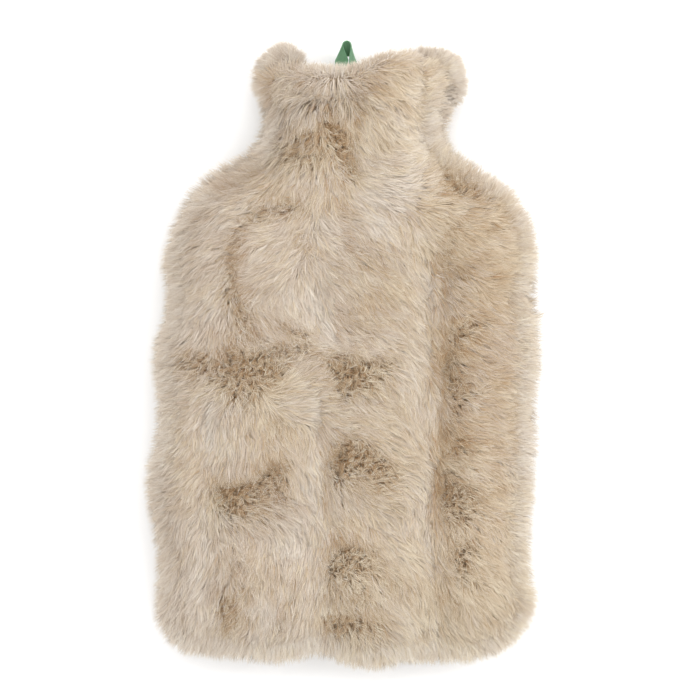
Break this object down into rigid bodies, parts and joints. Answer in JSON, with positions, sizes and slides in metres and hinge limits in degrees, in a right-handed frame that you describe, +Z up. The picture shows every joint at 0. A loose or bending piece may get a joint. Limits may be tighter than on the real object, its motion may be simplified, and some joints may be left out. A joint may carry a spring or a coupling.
{
  "type": "hot water bottle cover",
  "caption": "Plush cover for a hot water bottle: wide body, round shoulders and a flared neck in long-pile fur, open at the neck, with a ribbon loop.",
  "frame": {"origin": "middle of the underside, on the surface that the cover lies on", "axes": "+Z up out of the front panel, +Y towards the neck, +X to the right seen from above"},
  "size_m": [0.2243, 0.3565, 0.0496],
  "materials": {
    "fur": "matte",
    "ribbon": "satin"
  },
  "bodies": {
    "root": {"front_panel": "fur", "back_panel": "fur", "hanging_loop": "ribbon"}
  },
  "joints": []
}
